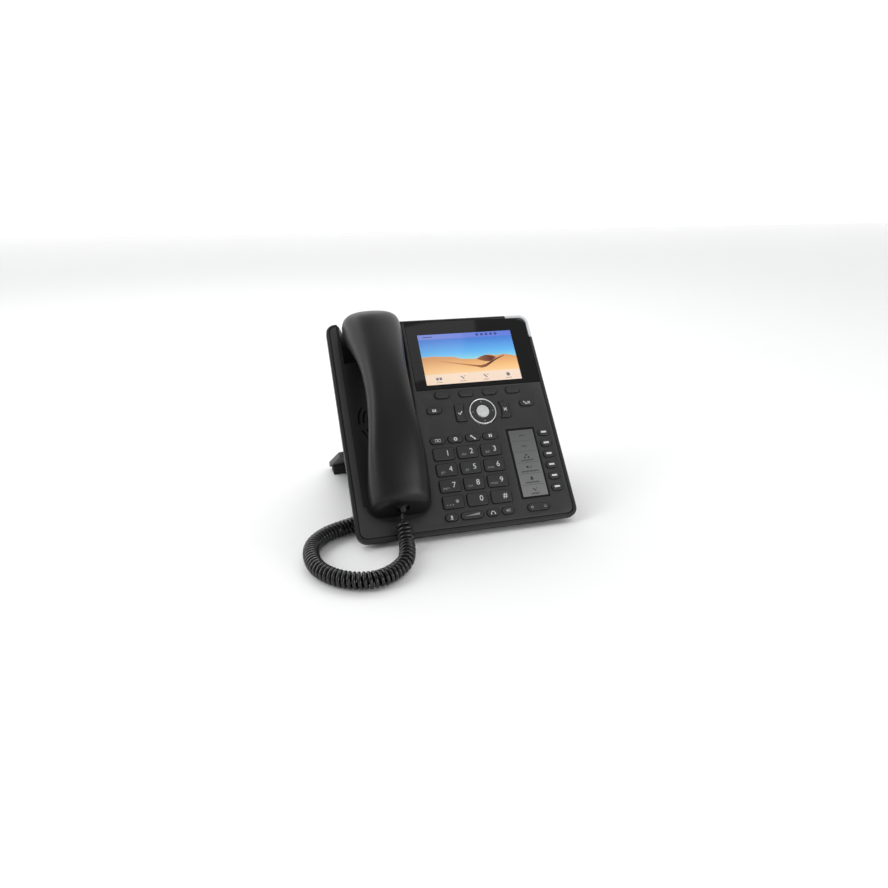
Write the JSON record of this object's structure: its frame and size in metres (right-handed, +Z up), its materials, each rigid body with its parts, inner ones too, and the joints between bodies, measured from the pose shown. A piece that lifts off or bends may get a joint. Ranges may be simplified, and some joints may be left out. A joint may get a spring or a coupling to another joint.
{
  "type": "desk ip phone",
  "caption": "Sloped desk telephone with a corded handset, colour display, dial pad, label display with line keys, navigation ring and folding foot stand.",
  "frame": {"origin": "on the table under the middle of the phone, its handset cord left out", "axes": "+X to the right of someone using the phone, +Y away from them, +Z up"},
  "size_m": [0.2484, 0.2613, 0.1767],
  "materials": {
    "charcoal_abs": "fine matte moulded texture",
    "dark_abs": "matte moulded",
    "key_plastic": "satin moulded",
    "handset_plastic": "satin moulded",
    "window_glass": "polished black",
    "display_panel": "lit display",
    "label_panel": "reflective grey display",
    "light_guide": "frosted clear",
    "silver_trim": "satin metallised",
    "rubber": "matte",
    "silicone": "matte",
    "board": "solder mask",
    "steel": "satin",
    "cord_pvc": "glossy extruded"
  },
  "bodies": {
    "console": {"rear_housing": "dark_abs", "front_fascia": "charcoal_abs", "display_window": "window_glass", "colour_display": "display_panel", "label_display": "label_panel", "call_indicator_light": "light_guide", "main_circuit_board": "board", "keypad_mat": "silicone", "loudspeaker": "steel", "socket_block": "dark_abs", "front_foot_left": "rubber", "front_foot_right": "rubber", "curly_cord": "cord_pvc", "base_plug": "dark_abs"},
    "dial_key_1": {"dial_key_1": "key_plastic"},
    "dial_key_2": {"dial_key_2": "key_plastic"},
    "dial_key_3": {"dial_key_3": "key_plastic"},
    "dial_key_4": {"dial_key_4": "key_plastic"},
    "dial_key_5": {"dial_key_5": "key_plastic"},
    "dial_key_6": {"dial_key_6": "key_plastic"},
    "dial_key_7": {"dial_key_7": "key_plastic"},
    "dial_key_8": {"dial_key_8": "key_plastic"},
    "dial_key_9": {"dial_key_9": "key_plastic"},
    "dial_key_star": {"dial_key_star": "key_plastic"},
    "dial_key_0": {"dial_key_0": "key_plastic"},
    "dial_key_hash": {"dial_key_hash": "key_plastic"},
    "function_key_directory": {"function_key_directory": "key_plastic"},
    "function_key_menu": {"function_key_menu": "key_plastic"},
    "function_key_transfer": {"function_key_transfer": "key_plastic"},
    "function_key_hold": {"function_key_hold": "key_plastic"},
    "soft_key_1": {"soft_key_1": "key_plastic"},
    "soft_key_2": {"soft_key_2": "key_plastic"},
    "soft_key_3": {"soft_key_3": "key_plastic"},
    "soft_key_4": {"soft_key_4": "key_plastic"},
    "line_key_1": {"line_key_1": "key_plastic"},
    "line_key_2": {"line_key_2": "key_plastic"},
    "line_key_3": {"line_key_3": "key_plastic"},
    "line_key_4": {"line_key_4": "key_plastic"},
    "line_key_5": {"line_key_5": "key_plastic"},
    "line_key_6": {"line_key_6": "key_plastic"},
    "message_key": {"message_key": "key_plastic"},
    "redial_key": {"redial_key": "key_plastic"},
    "confirm_key": {"confirm_key": "key_plastic"},
    "cancel_key": {"cancel_key": "key_plastic"},
    "mute_key": {"mute_key": "key_plastic"},
    "headset_key": {"headset_key": "key_plastic"},
    "speaker_key": {"speaker_key": "key_plastic"},
    "page_key": {"page_key": "key_plastic"},
    "navigation_button": {"navigation_button": "silver_trim"},
    "volume_key": {"volume_key": "key_plastic"},
    "navigation_gimbal": {"navigation_gimbal": "steel"},
    "navigation_ring": {"navigation_ring": "key_plastic"},
    "handset": {"handset_outer_shell": "handset_plastic", "handset_inner_shell": "handset_plastic", "earpiece_capsule": "steel", "microphone_capsule": "steel", "handset_plug": "dark_abs"},
    "hook_switch": {"hook_switch": "dark_abs"},
    "foot_stand": {"foot_stand": "dark_abs", "stand_foot_strip": "rubber"}
  },
  "joints": [
    {"name": "handset_lift", "type": "slide", "parent": "console", "child": "handset", "axis": [0, -0.7455, 0.6665], "range_m": [0, 0.1]},
    {"name": "hook_travel", "type": "slide", "parent": "console", "child": "hook_switch", "axis": [0, -0.7455, 0.6665], "range_m": [0, 0.0025]},
    {"name": "stand_fold", "type": "hinge", "parent": "console", "child": "foot_stand", "pos_m": [0, -0.00804, 0.05524], "axis": [1, 0, 0], "range_deg": [0, 35]},
    {"name": "navigation_up_down", "type": "hinge", "parent": "console", "child": "navigation_gimbal", "pos_m": [0.03284, -0.0207, 0.08609], "axis": [1, 0, 0], "range_deg": [-2.5, 2.5], "stiffness_Nm_per_rad": 0.08},
    {"name": "navigation_left_right", "type": "hinge", "parent": "navigation_gimbal", "child": "navigation_ring", "pos_m": [0.03284, -0.0207, 0.08609], "axis": [0, 0.6665, 0.7455], "range_deg": [-2.5, 2.5], "stiffness_Nm_per_rad": 0.08},
    {"name": "volume_rock", "type": "hinge", "parent": "console", "child": "volume_key", "pos_m": [0.002, -0.08698, 0.01421], "axis": [0, 0.6665, 0.7455], "range_deg": [-3, 3], "stiffness_Nm_per_rad": 0.05},
    {"name": "navigation_button_press", "type": "slide", "parent": "console", "child": "navigation_button", "axis": [0, 0.7455, -0.6665], "range_m": [0, 0.0008], "stiffness_N_per_m": 500},
    {"name": "dial_key_1_press", "type": "slide", "parent": "console", "child": "dial_key_1", "axis": [0, 0.7455, -0.6665], "range_m": [0, 0.001], "stiffness_N_per_m": 500},
    {"name": "dial_key_2_press", "type": "slide", "parent": "console", "child": "dial_key_2", "axis": [0, 0.7455, -0.6665], "range_m": [0, 0.001], "stiffness_N_per_m": 500},
    {"name": "dial_key_3_press", "type": "slide", "parent": "console", "child": "dial_key_3", "axis": [0, 0.7455, -0.6665], "range_m": [0, 0.001], "stiffness_N_per_m": 500},
    {"name": "dial_key_4_press", "type": "slide", "parent": "console", "child": "dial_key_4", "axis": [0, 0.7455, -0.6665], "range_m": [0, 0.001], "stiffness_N_per_m": 500},
    {"name": "dial_key_5_press", "type": "slide", "parent": "console", "child": "dial_key_5", "axis": [0, 0.7455, -0.6665], "range_m": [0, 0.001], "stiffness_N_per_m": 500},
    {"name": "dial_key_6_press", "type": "slide", "parent": "console", "child": "dial_key_6", "axis": [0, 0.7455, -0.6665], "range_m": [0, 0.001], "stiffness_N_per_m": 500},
    {"name": "dial_key_7_press", "type": "slide", "parent": "console", "child": "dial_key_7", "axis": [0, 0.7455, -0.6665], "range_m": [0, 0.001], "stiffness_N_per_m": 500},
    {"name": "dial_key_8_press", "type": "slide", "parent": "console", "child": "dial_key_8", "axis": [0, 0.7455, -0.6665], "range_m": [0, 0.001], "stiffness_N_per_m": 500},
    {"name": "dial_key_9_press", "type": "slide", "parent": "console", "child": "dial_key_9", "axis": [0, 0.7455, -0.6665], "range_m": [0, 0.001], "stiffness_N_per_m": 500},
    {"name": "dial_key_star_press", "type": "slide", "parent": "console", "child": "dial_key_star", "axis": [0, 0.7455, -0.6665], "range_m": [0, 0.001], "stiffness_N_per_m": 500},
    {"name": "dial_key_0_press", "type": "slide", "parent": "console", "child": "dial_key_0", "axis": [0, 0.7455, -0.6665], "range_m": [0, 0.001], "stiffness_N_per_m": 500},
    {"name": "dial_key_hash_press", "type": "slide", "parent": "console", "child": "dial_key_hash", "axis": [0, 0.7455, -0.6665], "range_m": [0, 0.001], "stiffness_N_per_m": 500},
    {"name": "function_key_directory_press", "type": "slide", "parent": "console", "child": "function_key_directory", "axis": [0, 0.7455, -0.6665], "range_m": [0, 0.001], "stiffness_N_per_m": 500},
    {"name": "function_key_menu_press", "type": "slide", "parent": "console", "child": "function_key_menu", "axis": [0, 0.7455, -0.6665], "range_m": [0, 0.001], "stiffness_N_per_m": 500},
    {"name": "function_key_transfer_press", "type": "slide", "parent": "console", "child": "function_key_transfer", "axis": [0, 0.7455, -0.6665], "range_m": [0, 0.001], "stiffness_N_per_m": 500},
    {"name": "function_key_hold_press", "type": "slide", "parent": "console", "child": "function_key_hold", "axis": [0, 0.7455, -0.6665], "range_m": [0, 0.001], "stiffness_N_per_m": 500},
    {"name": "soft_key_1_press", "type": "slide", "parent": "console", "child": "soft_key_1", "axis": [0, 0.7455, -0.6665], "range_m": [0, 0.001], "stiffness_N_per_m": 500},
    {"name": "soft_key_2_press", "type": "slide", "parent": "console", "child": "soft_key_2", "axis": [0, 0.7455, -0.6665], "range_m": [0, 0.001], "stiffness_N_per_m": 500},
    {"name": "soft_key_3_press", "type": "slide", "parent": "console", "child": "soft_key_3", "axis": [0, 0.7455, -0.6665], "range_m": [0, 0.001], "stiffness_N_per_m": 500},
    {"name": "soft_key_4_press", "type": "slide", "parent": "console", "child": "soft_key_4", "axis": [0, 0.7455, -0.6665], "range_m": [0, 0.001], "stiffness_N_per_m": 500},
    {"name": "line_key_1_press", "type": "slide", "parent": "console", "child": "line_key_1", "axis": [0, 0.7455, -0.6665], "range_m": [0, 0.001], "stiffness_N_per_m": 500},
    {"name": "line_key_2_press", "type": "slide", "parent": "console", "child": "line_key_2", "axis": [0, 0.7455, -0.6665], "range_m": [0, 0.001], "stiffness_N_per_m": 500},
    {"name": "line_key_3_press", "type": "slide", "parent": "console", "child": "line_key_3", "axis": [0, 0.7455, -0.6665], "range_m": [0, 0.001], "stiffness_N_per_m": 500},
    {"name": "line_key_4_press", "type": "slide", "parent": "console", "child": "line_key_4", "axis": [0, 0.7455, -0.6665], "range_m": [0, 0.001], "stiffness_N_per_m": 500},
    {"name": "line_key_5_press", "type": "slide", "parent": "console", "child": "line_key_5", "axis": [0, 0.7455, -0.6665], "range_m": [0, 0.001], "stiffness_N_per_m": 500},
    {"name": "line_key_6_press", "type": "slide", "parent": "console", "child": "line_key_6", "axis": [0, 0.7455, -0.6665], "range_m": [0, 0.001], "stiffness_N_per_m": 500},
    {"name": "message_key_press", "type": "slide", "parent": "console", "child": "message_key", "axis": [0, 0.7455, -0.6665], "range_m": [0, 0.001], "stiffness_N_per_m": 500},
    {"name": "redial_key_press", "type": "slide", "parent": "console", "child": "redial_key", "axis": [0, 0.7455, -0.6665], "range_m": [0, 0.001], "stiffness_N_per_m": 500},
    {"name": "confirm_key_press", "type": "slide", "parent": "console", "child": "confirm_key", "axis": [0, 0.7455, -0.6665], "range_m": [0, 0.001], "stiffness_N_per_m": 500},
    {"name": "cancel_key_press", "type": "slide", "parent": "console", "child": "cancel_key", "axis": [0, 0.7455, -0.6665], "range_m": [0, 0.001], "stiffness_N_per_m": 500},
    {"name": "mute_key_press", "type": "slide", "parent": "console", "child": "mute_key", "axis": [0, 0.7455, -0.6665], "range_m": [0, 0.001], "stiffness_N_per_m": 500},
    {"name": "headset_key_press", "type": "slide", "parent": "console", "child": "headset_key", "axis": [0, 0.7455, -0.6665], "range_m": [0, 0.001], "stiffness_N_per_m": 500},
    {"name": "speaker_key_press", "type": "slide", "parent": "console", "child": "speaker_key", "axis": [0, 0.7455, -0.6665], "range_m": [0, 0.001], "stiffness_N_per_m": 500},
    {"name": "page_key_press", "type": "slide", "parent": "console", "child": "page_key", "axis": [0, 0.7455, -0.6665], "range_m": [0, 0.001], "stiffness_N_per_m": 500}
  ],
  "couplings": [
    {"joint": "hook_travel", "follows": "handset_lift", "ratio": 0.025}
  ]
}
